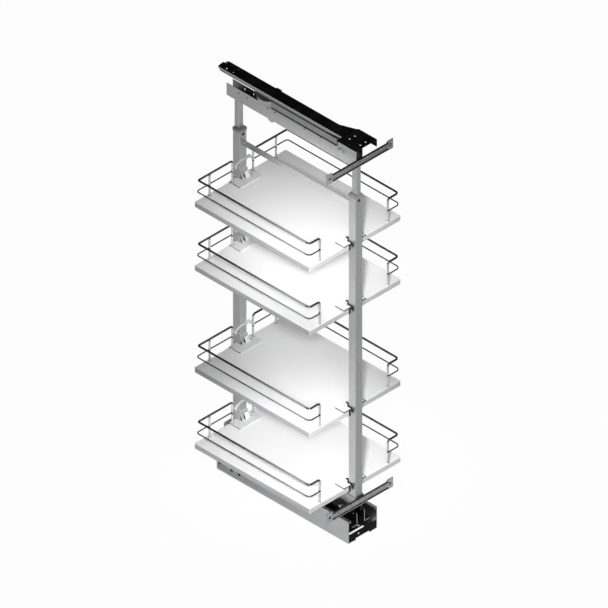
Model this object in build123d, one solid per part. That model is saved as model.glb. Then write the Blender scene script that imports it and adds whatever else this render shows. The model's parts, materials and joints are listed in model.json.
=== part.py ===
from build123d import *
import os

# Rotating pantry frame for a tall kitchen cabinet, millimetres.
# X is the cabinet's width, -Y is the door side, +Z is up.
# The origin is on the cabinet floor, on the swivel axis.

# Clearances
slide_gap = 0.3
pin_gap = 0.05

# How far a cut reaches past the faces it goes through
cut_past = 1.0

# Base on the cabinet floor
base_width = 115.2
base_front = -264.0
base_back = 270.0
base_sheet = 2.0
base_front_height = 75.0
base_back_height = 50.0
base_tall_length = 144.0
base_slope_length = 40.0
base_lip_depth = 10.0
base_tab_width = 4.0
base_tab_drop = 5.0
floor_notch_width = 72.0
floor_notch_depth = 36.5
floor_screw_radius = 2.75
floor_screw_spacing_x = 54.0
floor_screw_spacing_y = 439.0
side_hole_radius = 3.5
side_hole_height = 24.0
side_hole_insets = (12.0, 60.0, 91.0)

# Front cross plate of the base
cross_plate_height = 29.0
cross_plate_sheet = 2.0
cross_notch_width = 56.0
cross_notch_height = 6.0
cross_hole_radius = 3.5
cross_hole_height = 17.0
cross_hole_x = -16.0

# Fixed runners, middle rails and their rear buffers
runner_front = -202.0
runner_back_inset = 8.0
runner_bottom = 32.0
runner_height = 26.0
runner_depth = 11.0
runner_sheet = 2.0
middle_sheet = 1.5
middle_depth = 13.0
middle_end_inset = 5.0
middle_web_gap = 1.0
tie_length = 20.0
tie_height = 4.0
tie_inset = 25.0
buffer_play = 1.0
buffer_edge = 2.0

# Lower carriage
leg_spacing = 29.0
leg_sheet = 1.5
leg_bottom = 42.0
leg_foot_depth = 20.5
leg_front = -256.0
leg_corner_radius = 8.0
leg_hole_radius = 2.0
leg_hole_height = 76.0
leg_hole_places = (-242.0, -228.0)
carriage_width = 60.0
carriage_top = 83.5
carriage_sheet = 2.0
carriage_front = -215.0
carriage_back = 200.0
carriage_boss_radius = 10.0
carriage_boss_height = 6.0
carriage_boss_x = 20.0
carriage_boss_y = -190.0
shoe_length = 60.0
shoe_count = 3
shoe_front_inset = 66.0
shoe_end_inset = 22.0
shoe_grip = 4.0
shoe_edge = 1.0

# Swivel bearing between the carriage and the frame
race_radius = 29.0
lower_race_height = 12.2
pivot_radius = 6.0
pivot_head_radius = 10.0
pivot_head_height = 5.0
pivot_end_gap = 2.0
spigot_radius = 10.0
spigot_height = 14.0

# Catch that holds the frame straight
catch_width = 16.0
catch_length = 12.0
catch_height = 7.0
catch_bevel = 2.3
catch_y = -206.0
striker_width = 12.0
striker_length = 16.0
striker_gap = 0.5
striker_bevel = 2.0

# Posts: outer tubes of the frame
post_side = 28.0
post_wall = 1.2
post_overhang = 15.2
tube_corner = 1.1
post_hole_radius = 2.0
post_hole_heights = (161.0, 594.5)
clamp_hole_drop = 10.0
clamp_screw_radius = 3.0
clamp_screw_rise = 0.5
collar_side = 31.0
collar_height = 8.0
collar_skirt = 3.0
collar_corner = 2.0

# Inner tubes, which slide in the posts
tube_side = 18.0
tube_wall = 1.5
tube_in_post = 147.0
tube_shown = 108.0
tube_gap = 0.2

# Lower beam under the posts
beam_bottom = 104.0
beam_top = 134.0
beam_sheet = 1.5
beam_tail = 32.3
post_seat_gap = 0.1
cap_thickness = 2.5
cap_plug_depth = 10.0

# Foot bracket at the front of the beam
foot_bottom = 106.0
foot_sheet = 1.8
foot_depth = 33.5

# Brace between the posts
brace_height = 17.0
brace_thickness = 5.0
brace_drop = 39.0

# Bars that carry the cabinet door
bar_length = 270.0
bar_height = 22.0
bar_depth = 7.5
bar_sheet = 2.0
lower_bar_center = 118.0
upper_bar_drop = 23.0
bar_tab_length = 22.0
bar_tab_height = 34.0
bar_tab_corner = 5.0
bar_tab_hole_radius = 3.0
bar_tab_hole_x = 122.0
bar_hole_radius = 2.3
bar_outer_hole_x = 86.0
bar_inner_hole_x = 31.5

# Trays
tray_width = 371.0
tray_depth = 467.0
tray_board = 16.0
tray_edge_radius = 1.5
tray_corner_radius = 4.0
tray_lift = 19.5
tray_head_room = 130.5
# Where each tray's underside stands between the lowest (0) and the highest place (1)
tray_shares = (0.0, 0.3152, 0.7368, 1.0)

# Rails of the trays
rail_wire_radius = 3.2
rail_lower_wire_radius = 2.0
rail_side_inset = 5.0
rail_back_inset = 11.0
rail_front_inset = 6.0
rail_front_corner_radius = 10.0
rail_rear_corner_radius = 5.0
rail_bend_radius = 8.0
rail_upper_height = 78.5
rail_lower_height = 40.0
rail_lower_offset = 3.4
rail_back_end_x = 42.0
rail_stay_x = 134.5
rail_front_stay_x = 138.5
rail_peg_depth = 8.0
rail_ferrule_radius = 4.2
rail_ferrule_height = 3.0

# Front clip of a tray
clip_plate_width = 90.0
clip_plate_depth = 38.0
clip_plate_sheet = 2.0
clip_corner = 3.0
clip_cheek_sheet = 1.7
clip_cheek_height = 7.0
clip_cheek_back = 16.5
clip_cheek_front = 6.0
clip_cheek_drop = 8.0
clip_hook_height = 14.0
clip_hook_sheet = 2.0
clip_nib_length = 10.0
clip_nib_width = 5.0
clip_catch_width = 6.0
clip_catch_drop = 17.5
clip_catch_depth = 2.5
clip_catch_x = 22.7
clip_catch_edge = 1.0

# Rear clamp of a tray
clamp_plate_width = 90.0
clamp_plate_depth = 46.5
clamp_plate_sheet = 3.0
clamp_plate_corner = 6.0
clamp_cheek_sheet = 2.0
clamp_cheek_height = 42.0
clamp_cheek_width = 20.0
clamp_cheek_corner = 6.0
clamp_bridge_height = 31.0
clamp_pivot_height = 33.0
clamp_pivot_from_face = 15.6
clamp_pin_radius = 2.5
clamp_pin_head_radius = 4.2
clamp_pin_head_height = 1.4
clamp_ear_height = 17.0
clamp_ear_top = 2.0
clamp_ear_foot = 9.0
clamp_ear_x = 13.0
clamp_strut_x = 0.5
clamp_strut_width = 15.5
clamp_slot_width = 9.0
clamp_slot_depth = 12.0
clamp_slot_sink = 1.5
clamp_slot_x = 24.0

# Lever of the rear clamp
lever_sheet = 2.0
lever_reach = 42.0
lever_rise = 57.0
lever_root_radius = 5.5
lever_width = 7.0
lever_bulge = 4.5
lever_tongue_width = 21.0
lever_tongue_length = 12.0
lever_lip_drop = 9.0

# Ceiling rail and its front plate
installed_height = 1375.0
ceiling_plate_sheet = 2.0
ceiling_plate_width = 86.0
ceiling_plate_front = -279.0
ceiling_plate_length = 78.0
ceiling_step = 5.0
ceiling_flange_depth = 25.0
ceiling_flange_sheet = 2.0
ceiling_taper_length = 51.0
rail_width = 38.0
rail_height = 12.0
rail_back = 303.0
rail_sheet = 1.5
rail_lip = 11.5
rail_groove_depth = 0.6
rail_groove_height = 6.0
rail_groove_length = 148.0
rail_end_inset = 6.5
rail_nose_length = 66.0
rail_nose_rise = 8.0
strip_notch_x = 6.0
strip_notch_width = 7.0
strip_notch_depth = 8.0
strip_nose = 3.0
strip_tab_depth = 4.5
strip_tab_length = 24.0
strip_tab_bevel = 3.6
strip_tab_y = 96.0
strip_hole_radius = 1.8
strip_hole_places = ((-7.0, -178.0), (5.0, -168.0), (8.0, -190.0), (-4.0, -188.0), (9.0, 233.0))
ceiling_hole_radius = 3.0
ceiling_hole_relief = 3.5
ceiling_hole_x = 10.5
ceiling_front_hole_y = (-265.0, -222.0)
ceiling_back_hole_y = (249.5, 276.5)
ceiling_wide_hole_x = 32.0
ceiling_wide_hole_y = -242.0

# Middle member of the ceiling rail
top_middle_front_inset = 4.0
top_middle_back_inset = 153.0
top_middle_flange = 15.0
top_middle_web = 4.0
top_middle_sheet = 3.0

# Top carriage
top_carriage_width = 26.0
top_carriage_height = 19.0
top_carriage_drop = 44.0
top_carriage_front = -172.0
top_carriage_back = 147.0
top_carriage_sheet = 1.5
top_carriage_slot = 12.0
top_pivot_drop = 26.0
top_pivot_head_height = 2.5
top_pivot_head_radius = 9.0

# Damper and clip on the top carriage
damper_front = 94.0
damper_middle = 132.0
damper_back = 153.0
damper_width = 4.0
damper_height = 18.3
damper_rail_gap = 2.0
clip_sheet = 1.5
clip_front = 94.0
clip_back = 144.0
clip_height = 18.7
clip_channel_gap = 1.3
clip_strip_low_width = 13.0
clip_strip_high_width = 7.0
clip_strip_rise = 27.0
clip_strip_lean = 28.0

# Upper channel of the frame
channel_width = 26.8
channel_height = 42.0
channel_gap = 4.0
channel_sheet = 1.5
channel_tail = 26.3
channel_step_gap = 4.0
channel_slot_width = 3.0
channel_slot_height = 8.0
channel_slot_places = (226.0, 190.0)
channel_slot_drop = 12.0
channel_dash_height = 3.5
channel_dash_drop = 7.5
channel_dashes = ((78.5, 10.0), (108.5, 6.0))
channel_lug_y = 95.0
channel_lug_radius = 15.0
channel_lug_drop = 7.0
channel_notch_depth = 8.0
channel_notch_places = (-41.0, -105.0)
channel_hook_y = -190.0
channel_hook_radius = 13.0
channel_hook_width = 2.5
channel_hook_drop = 12.0

# Pivot block in the upper channel
block_length = 40.0
block_height = 22.0

# Black wedge in the front end of the upper channel
wedge_length = 12.0
wedge_rise = 14.5
wedge_shoulder_drop = 17.0
wedge_tip_x = -5.0

# Levels and faces that follow from the sizes above
base_half = base_width / 2
post_half = post_side / 2
tray_half_depth = tray_depth / 2
post_outer_face = tray_half_depth + post_overhang
post_inner_face = post_outer_face - post_side
post_middle = post_outer_face - post_half
beam_half = post_half + post_seat_gap + beam_sheet
foot_half = beam_half + foot_sheet
bar_back = post_outer_face + foot_sheet
beam_back = post_outer_face + beam_tail
channel_back = post_outer_face + channel_tail
cheek_inner = post_half + slide_gap
cheek_outer = cheek_inner + clip_cheek_sheet
notch_half = cheek_outer + 2 * slide_gap
notch_bottom = post_inner_face - slide_gap
rail_back_y = tray_half_depth - rail_back_inset
rail_front_y = rail_front_inset - tray_half_depth
rail_feet = (
    (rail_back_end_x, rail_back_y),
    (rail_stay_x, rail_back_y),
    (rail_front_stay_x, rail_front_y),
)
carriage_half = carriage_width / 2
leg_half = leg_spacing / 2
lower_race_top = carriage_top + lower_race_height
race_bottom = lower_race_top + slide_gap
runner_top = runner_bottom + runner_height
runner_web = base_half - base_sheet
middle_outer = runner_web - runner_sheet - middle_web_gap
middle_bottom = runner_bottom + runner_sheet + slide_gap
middle_top = runner_top - runner_sheet - slide_gap
middle_back = base_back - runner_back_inset - middle_end_inset
shoe_outer = middle_outer - middle_sheet - slide_gap
shoe_bottom = middle_bottom + middle_sheet + slide_gap
shoe_top = middle_top - middle_sheet - slide_gap
ceiling_plate_back = ceiling_plate_front + ceiling_plate_length
rail_top = installed_height - ceiling_plate_sheet
rail_bottom = rail_top - rail_height
rail_half = rail_width / 2
top_carriage_bottom = installed_height - top_carriage_drop
top_carriage_top = top_carriage_bottom + top_carriage_height
top_middle_lower_top = top_carriage_top - top_carriage_sheet - slide_gap
channel_top = top_carriage_bottom - channel_gap
channel_bottom = channel_top - channel_height
channel_step_top = top_middle_lower_top - top_middle_sheet - slide_gap
channel_step_back = top_carriage_front - channel_step_gap
channel_half = channel_width / 2
channel_inner = channel_half - channel_sheet
tube_half = tube_side / 2
tube_middle = post_outer_face - post_wall - tube_gap - tube_half
post_top = channel_bottom - tube_shown
tube_bottom = post_top - tube_in_post
collar_top = post_top + collar_height
brace_center = post_top - brace_drop
upper_bar_center = channel_top - upper_bar_drop
lowest_tray = beam_top + tray_lift
highest_tray = brace_center - brace_height / 2 - tray_head_room
tray_undersides = [lowest_tray + share * (highest_tray - lowest_tray) for share in tray_shares]


def block(x, y, z):
    """Box between the low and high values given for each axis."""
    size = (x[1] - x[0], y[1] - y[0], z[1] - z[0])
    middle = ((x[0] + x[1]) / 2, (y[0] + y[1]) / 2, (z[0] + z[1]) / 2)
    return Pos(*middle) * Box(*size)


def rod(start, direction, radius, length):
    """Cylinder that starts at a point and runs along a direction."""
    return extrude(Plane(origin=start, z_dir=direction) * Circle(radius), amount=length)


def around(middle, length):
    """Span of the given length with the given middle."""
    return (middle - length / 2, middle + length / 2)


def past(span):
    """The span made a little longer at both ends, so that a cut goes clean through."""
    return (span[0] - cut_past, span[1] + cut_past)


def bore(start, direction, radius, length):
    """Cylinder to cut with, a little longer at both ends than the hole it makes."""
    origin = [place - cut_past * way for place, way in zip(start, direction)]
    return rod(origin, direction, radius, length + 2 * cut_past)


def plate_x(points, x_low, thickness):
    """Flat plate with a (y, z) outline, extruded along +X."""
    outline = Polyline(*[(x_low, y, z) for y, z in points], close=True)
    return extrude(make_face(outline.edges()), amount=thickness, dir=(1, 0, 0))


def plate_z(points, z_low, thickness):
    """Flat plate with an (x, y) outline, extruded along +Z."""
    outline = Polyline(*[(x, y, z_low) for x, y in points], close=True)
    return extrude(make_face(outline.edges()), amount=thickness, dir=(0, 0, 1))


def square_tube(center, side, wall, z):
    """Upright square tube with rounded corners."""
    outer = Pos(0, center, z[0]) * extrude(RectangleRounded(side, side, tube_corner), amount=z[1] - z[0])
    hole_half = side / 2 - wall
    return outer - block((-hole_half, hole_half), (center - hole_half, center + hole_half), past(z))


def mirrored(shape):
    """The same shape on the other side of the middle plane."""
    return mirror(shape, about=Plane.YZ)


def channel_y(half_width, y, z, sheet):
    """Open-topped channel along Y with a floor and two side walls."""
    outer = block((-half_width, half_width), y, z)
    inner_half = half_width - sheet
    return outer - block((-inner_half, inner_half), past(y), (z[0] + sheet, z[1] + cut_past))


def base_channel():
    """Sheet-metal housing with a tall front part, inward lips, a floor and a rear wall."""
    tall_end = base_front + base_tall_length
    slope_end = tall_end + base_slope_length
    side_outline = [
        (base_front, 0),
        (base_back, 0),
        (base_back, base_back_height),
        (slope_end, base_back_height),
        (tall_end, base_front_height),
        (base_front, base_front_height),
    ]
    side = plate_x(side_outline, -base_half, base_sheet)
    lip_z = (base_front_height - base_sheet, base_front_height)
    lip_x = (-base_half, -base_half + base_lip_depth)
    lip = block(lip_x, (base_front, tall_end), lip_z)
    tab_x = (lip_x[1] - base_tab_width, lip_x[1])
    tab_z = (lip_z[0] - base_tab_drop, lip_z[1])
    tab = block(tab_x, (base_front, base_front + base_sheet), tab_z)
    half_shell = side + lip + tab
    floor = block((-base_half, base_half), (base_front, base_back), (0, base_sheet))
    notch_half_width = floor_notch_width / 2
    notch_y = (base_front - cut_past, base_front + floor_notch_depth)
    floor = floor - block((-notch_half_width, notch_half_width), notch_y, past((0, base_sheet)))
    rear_wall = block((-base_half, base_half), (base_back - base_sheet, base_back), (0, base_back_height))
    shell = half_shell + mirrored(half_shell) + floor + rear_wall
    for x in (-floor_screw_spacing_x / 2, floor_screw_spacing_x / 2):
        for y in (-floor_screw_spacing_y / 2, floor_screw_spacing_y / 2):
            shell = shell - bore((x, y, 0), (0, 0, 1), floor_screw_radius, base_sheet)
    for inset in side_hole_insets:
        start = (-base_half, base_back - inset, side_hole_height)
        shell = shell - bore(start, (1, 0, 0), side_hole_radius, base_width)
    return shell


def base_front_plate():
    """Upright plate across the front of the base, with a raised lower edge and a hole."""
    inner = base_half - base_sheet
    y = (base_front, base_front + cross_plate_sheet)
    floor_side = floor_notch_width / 2
    plate = block((-inner, inner), y, (base_sheet, cross_plate_height))
    apron = block((-floor_side, floor_side), y, (0, base_sheet))
    notch_half_width = cross_notch_width / 2
    notch = block((-notch_half_width, notch_half_width), past(y), (-cut_past, cross_notch_height))
    hole = bore((cross_hole_x, y[0], cross_hole_height), (0, 1, 0), cross_hole_radius, cross_plate_sheet)
    return plate + apron - notch - hole


def fixed_runner():
    """C-shaped rail on the left wall of the base, open towards the middle."""
    y = (runner_front, base_back - runner_back_inset)
    outer = block((-runner_web, -runner_web + runner_depth), y, (runner_bottom, runner_top))
    inside_x = (-runner_web + runner_sheet, -runner_web + runner_depth + cut_past)
    inside_z = (runner_bottom + runner_sheet, runner_top - runner_sheet)
    return outer - block(inside_x, past(y), inside_z)


def lower_middle():
    """Two C-shaped middle rails joined by a tie bar under the carriage."""
    y = (runner_front + middle_end_inset, middle_back)
    outer = block((-middle_outer, -middle_outer + middle_depth), y, (middle_bottom, middle_top))
    inside_x = (-middle_outer + middle_sheet, -middle_outer + middle_depth + cut_past)
    inside_z = (middle_bottom + middle_sheet, middle_top - middle_sheet)
    left = outer - block(inside_x, past(y), inside_z)
    tie_x = middle_outer - middle_depth + middle_sheet
    tie_y = (y[1] - tie_inset - tie_length, y[1] - tie_inset)
    tie_top = middle_bottom + middle_sheet
    tie = block((-tie_x, tie_x), tie_y, (tie_top - tie_height, tie_top))
    return left + mirrored(left) + tie


def lower_carriage():
    """Top plate on two long legs with feet turned outward and two round bosses."""
    plate_y = (carriage_front, carriage_back)
    plate = block((-carriage_half, carriage_half), plate_y, (carriage_top - carriage_sheet, carriage_top))
    leg_y = (leg_front, carriage_back)
    leg = block((-leg_half - leg_sheet, -leg_half), leg_y, (leg_bottom, carriage_top))
    front_edges = leg.edges().filter_by(Axis.X).group_by(Axis.Y)[0].sort_by(Axis.Z)[-1]
    leg = fillet(front_edges, leg_corner_radius)
    for y in leg_hole_places:
        start = (-leg_half - leg_sheet, y, leg_hole_height)
        leg = leg - bore(start, (1, 0, 0), leg_hole_radius, leg_sheet)
    foot_x = (-leg_half - leg_foot_depth, -leg_half)
    foot = block(foot_x, leg_y, (leg_bottom, leg_bottom + leg_sheet))
    boss_start = (-carriage_boss_x, carriage_boss_y, carriage_top)
    boss = rod(boss_start, (0, 0, 1), carriage_boss_radius, carriage_boss_height)
    half = leg + foot + boss
    body = plate + half + mirrored(half)
    pin_hole_start = (0, 0, carriage_top - carriage_sheet)
    return body - bore(pin_hole_start, (0, 0, 1), pivot_radius, carriage_sheet)


def carriage_shoes():
    """Plastic shoes clipped on the carriage's feet, running in the middle rails."""
    foot_edge = leg_half + leg_foot_depth
    span = (leg_front + shoe_front_inset, carriage_back - shoe_end_inset - shoe_length)
    shoes = []
    for index in range(shoe_count):
        start = span[0] + (span[1] - span[0]) * index / (shoe_count - 1)
        y = (start, start + shoe_length)
        jaw = block((-shoe_outer, -foot_edge + shoe_grip), y, (shoe_bottom, shoe_top))
        jaw = fillet(jaw.edges().filter_by(Axis.Y), shoe_edge)
        grip_z = (leg_bottom, leg_bottom + leg_sheet)
        grip = block((-foot_edge, -foot_edge + shoe_grip + cut_past), past(y), grip_z)
        left = jaw - grip
        shoes += [left, mirrored(left)]
    return Compound(shoes)


def rear_buffers():
    """Rubber blocks on the rear wall, which stop the middle rails."""
    x = (-middle_outer, -middle_outer + middle_depth)
    y = (middle_back + buffer_play, base_back - base_sheet)
    pad = block(x, y, (middle_bottom, middle_top))
    pad = fillet(pad.edges().filter_by(Axis.Z).group_by(Axis.Y)[0], buffer_edge)
    return Compound([pad, mirrored(pad)])


def lower_bearing_race():
    """Lower ring of the swivel bearing."""
    ring = rod((0, 0, carriage_top), (0, 0, 1), race_radius, lower_race_height)
    return ring - bore((0, 0, carriage_top), (0, 0, 1), pivot_radius, lower_race_height)


def lower_pivot_pin():
    """Headed pin that stands up through the carriage and both rings."""
    head_z = carriage_top - carriage_sheet - pivot_head_height
    head = rod((0, 0, head_z), (0, 0, 1), pivot_head_radius, pivot_head_height)
    pin_end = beam_bottom + spigot_height - pivot_end_gap
    return head + rod((0, 0, head_z), (0, 0, 1), pivot_radius, pin_end - head_z)


def swivel_catch():
    """Catch block on the carriage, which holds the frame straight."""
    y = around(catch_y, catch_length)
    half = catch_width / 2
    body = block((-half, half), y, (carriage_top, carriage_top + catch_height))
    return chamfer(body.edges().filter_by(Axis.X).group_by(Axis.Z)[-1], catch_bevel)


def catch_striker():
    """Bright plate under the beam, which meets the catch."""
    half = striker_width / 2
    y = around(catch_y, striker_length)
    striker_bottom = carriage_top + catch_height + striker_gap
    body = block((-half, half), y, (striker_bottom, beam_bottom))
    return chamfer(body.edges().filter_by(Axis.X).group_by(Axis.Z)[0], striker_bevel)


def upper_bearing_race():
    """Upper ring of the swivel bearing, with a spigot through the beam's floor."""
    start = (0, 0, race_bottom)
    ring = rod(start, (0, 0, 1), race_radius, beam_bottom - race_bottom)
    length = beam_bottom + spigot_height - race_bottom
    spigot = rod(start, (0, 0, 1), spigot_radius, length)
    return ring + spigot - bore(start, (0, 0, 1), pivot_radius + pin_gap, length)


def lower_beam():
    """Channel that carries both posts, open at the top."""
    body = channel_y(beam_half, (-post_outer_face, beam_back), (beam_bottom, beam_top), beam_sheet)
    return body - bore((0, 0, beam_bottom), (0, 0, 1), spigot_radius, beam_sheet)


def beam_end_cap():
    """Plastic cap on the rear end of the beam."""
    face = block((-beam_half, beam_half), (beam_back, beam_back + cap_thickness), (beam_bottom, beam_top))
    inner = beam_half - beam_sheet
    floor = beam_bottom + beam_sheet
    plug = block((-inner, inner), (beam_back - cap_plug_depth, beam_back), (floor, beam_top - beam_sheet))
    return face + plug


def post(side):
    """Outer tube of the frame. side is -1 at the front and 1 at the back."""
    tube = square_tube(side * post_middle, post_side, post_wall, (beam_bottom + beam_sheet, post_top))
    face_y = side * post_middle - post_half
    start = (0, face_y, post_top - clamp_hole_drop)
    tube = tube - bore(start, (0, 1, 0), clamp_screw_radius + pin_gap, post_wall)
    if side < 0:
        for height in post_hole_heights:
            tube = tube - bore((0, face_y, height), (0, 1, 0), post_hole_radius, post_wall)
    return tube


def collar(side):
    """Plastic cap on a post, which guides the inner tube."""
    outline = RectangleRounded(collar_side, collar_side, collar_corner)
    cap = Pos(0, side * post_middle, post_top) * extrude(outline, amount=collar_height)
    skirt_half = post_half - post_wall
    skirt_y = (side * post_middle - skirt_half, side * post_middle + skirt_half)
    skirt = block((-skirt_half, skirt_half), skirt_y, (post_top - collar_skirt, post_top))
    guide_half = tube_half + slide_gap
    guide_y = (side * tube_middle - guide_half, side * tube_middle + guide_half)
    guide = block((-guide_half, guide_half), guide_y, past((post_top - collar_skirt, collar_top)))
    return cap + skirt - guide


def cross_brace():
    """Flat bar between the posts, near their top."""
    z = around(brace_center, brace_height)
    half = brace_thickness / 2
    return block((-half, half), (-post_inner_face, post_inner_face), z)


def front_foot():
    """Bracket that wraps the front end of the beam and carries the lower door bar."""
    y = (-bar_back, -bar_back + foot_depth)
    z = (foot_bottom, beam_top)
    body = block((-foot_half, foot_half), y, z)
    return body - block((-beam_half, beam_half), (-post_outer_face, y[1] + cut_past), past(z))


def door_bar(center):
    """Shallow channel open to the front, with a taller flat tab at each end."""
    half = bar_length / 2
    flange_half = half - bar_tab_length
    front = -bar_back - bar_depth
    web_y = (-bar_back - bar_sheet, -bar_back)
    z = around(center, bar_height)
    profile = block((-flange_half, flange_half), (front, -bar_back), z)
    trough = block((-half, half), (front - cut_past, web_y[0]), (z[0] + bar_sheet, z[1] - bar_sheet))
    tab_z = around(center, bar_tab_height)
    tab = block((flange_half - bar_tab_corner, half), web_y, tab_z)
    tab = chamfer(tab.edges().filter_by(Axis.Y).group_by(Axis.X)[0], bar_tab_corner)
    bar = profile - trough + tab + mirrored(tab)
    for x in (-bar_tab_hole_x, bar_tab_hole_x):
        bar = bar - bore((x, web_y[0], center), (0, 1, 0), bar_tab_hole_radius, bar_sheet)
    for x in (-bar_outer_hole_x, -bar_inner_hole_x, 0, bar_inner_hole_x, bar_outer_hole_x):
        bar = bar - bore((x, web_y[0], center), (0, 1, 0), bar_hole_radius, bar_sheet)
    return bar


def clamp_screws():
    """Screws near the tops of the posts, which clamp the inner tubes."""
    solids = []
    for side in (-1, 1):
        face_y = side * post_middle - post_half
        tip_y = side * tube_middle - tube_half - slide_gap
        start = (0, face_y - clamp_screw_rise, post_top - clamp_hole_drop)
        solids.append(rod(start, (0, 1, 0), clamp_screw_radius, tip_y - start[1]))
    return Compound(solids)


def tray_board_part(underside):
    """Board with rounded edges, a notch for each post and holes for the rail wires."""
    corner_board = RectangleRounded(tray_width, tray_depth, tray_corner_radius)
    board = Pos(0, 0, underside) * extrude(corner_board, amount=tray_board)
    top_edges = board.edges().group_by(Axis.Z)[-1]
    board = fillet(top_edges, tray_edge_radius)
    for side in (-1, 1):
        y = sorted((side * notch_bottom, side * (tray_half_depth + cut_past)))
        board = board - block((-notch_half, notch_half), y, past((underside, underside + tray_board)))
    hole_z = underside + tray_board - rail_peg_depth - slide_gap
    for x, y in rail_feet:
        for place in (-x, x):
            board = board - rod((place, y, hole_z), (0, 0, 1), rail_wire_radius + pin_gap, tray_board)
    return board


def wire(points, radii, radius):
    """Round wire along straight runs joined by arcs."""
    path = FilletPolyline(*points, radius=radii)
    return sweep(Plane(origin=path @ 0, z_dir=path % 0) * Circle(radius), path=path)


def tray_left_rail(tray_top):
    """Welded wire rail round the left half of a tray."""
    side_x = -(tray_width / 2 - rail_side_inset)
    upper_z = tray_top + rail_upper_height
    lower_z = tray_top + rail_lower_height
    foot_z = tray_top - rail_peg_depth
    upper_points = [
        (-rail_back_end_x, rail_back_y, foot_z),
        (-rail_back_end_x, rail_back_y, upper_z),
        (side_x, rail_back_y, upper_z),
        (side_x, rail_front_y, upper_z),
        (-rail_front_stay_x, rail_front_y, upper_z),
        (-rail_front_stay_x, rail_front_y, foot_z),
    ]
    bends = [rail_bend_radius, rail_rear_corner_radius, rail_front_corner_radius, rail_bend_radius]
    rail = wire(upper_points, bends, rail_wire_radius)
    out = rail_lower_offset
    lower_points = [
        (-rail_back_end_x, rail_back_y + out, lower_z),
        (side_x - out, rail_back_y + out, lower_z),
        (side_x - out, rail_front_y - out, lower_z),
        (-rail_front_stay_x, rail_front_y - out, lower_z),
    ]
    lower_bends = [rail_rear_corner_radius + out, rail_front_corner_radius + out]
    rail = rail + wire(lower_points, lower_bends, rail_lower_wire_radius)
    stay_start = (-rail_stay_x, rail_back_y, foot_z)
    rail = rail + rod(stay_start, (0, 0, 1), rail_wire_radius, upper_z - foot_z)
    for x, y in rail_feet:
        rail = rail + rod((-x, y, tray_top), (0, 0, 1), rail_ferrule_radius, rail_ferrule_height)
    return rail


def tray_front_clip(tray_top):
    """Clip plate on the tray with two cheeks beside the front post and a hook behind it."""
    half = clip_plate_width / 2
    front = -tray_half_depth
    z = (tray_top, tray_top + clip_plate_sheet)
    plate = block((-half, half), (front, front + clip_plate_depth), z)
    plate = fillet(plate.edges().filter_by(Axis.Z).group_by(Axis.Y)[-1], clip_corner)
    pocket_y = (front - cut_past, -notch_bottom)
    plate = plate - block((-cheek_inner, cheek_inner), pocket_y, past(z))
    cheek_back = front + clip_cheek_back
    cheek_front = front - clip_cheek_front
    cheek_top = tray_top + clip_cheek_height
    cheek_low = tray_top - clip_cheek_drop
    outline = [
        (cheek_front, cheek_low),
        (-notch_bottom, cheek_low),
        (-notch_bottom, tray_top),
        (cheek_back, tray_top),
        (cheek_back, cheek_top),
        (cheek_front, cheek_top),
    ]
    cheek = plate_x(outline, -cheek_outer, clip_cheek_sheet)
    nose = cheek.edges().filter_by(Axis.X).group_by(Axis.Y)[0].sort_by(Axis.Z)[-1]
    cheek = fillet(nose, clip_cheek_height)
    hook_y = (-notch_bottom, -notch_bottom + clip_hook_sheet)
    hook = block((-cheek_outer, cheek_outer), hook_y, (tray_top, tray_top + clip_hook_height))
    nib_y = (-notch_bottom, -notch_bottom + clip_nib_length)
    nib_z = (tray_top + clip_hook_height - clip_hook_sheet, tray_top + clip_hook_height)
    nib = block((-cheek_outer, -cheek_outer + clip_nib_width), nib_y, nib_z)
    catch_x = around(-clip_catch_x, clip_catch_width)
    catch_z = (tray_top - clip_catch_drop, tray_top + clip_plate_sheet)
    catch = block(catch_x, (front - clip_catch_depth, front), catch_z)
    catch = fillet(catch.edges().filter_by(Axis.Z).group_by(Axis.Y)[0], clip_catch_edge)
    half_clip = cheek + catch + nib
    return plate + hook + half_clip + mirrored(half_clip)


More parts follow.
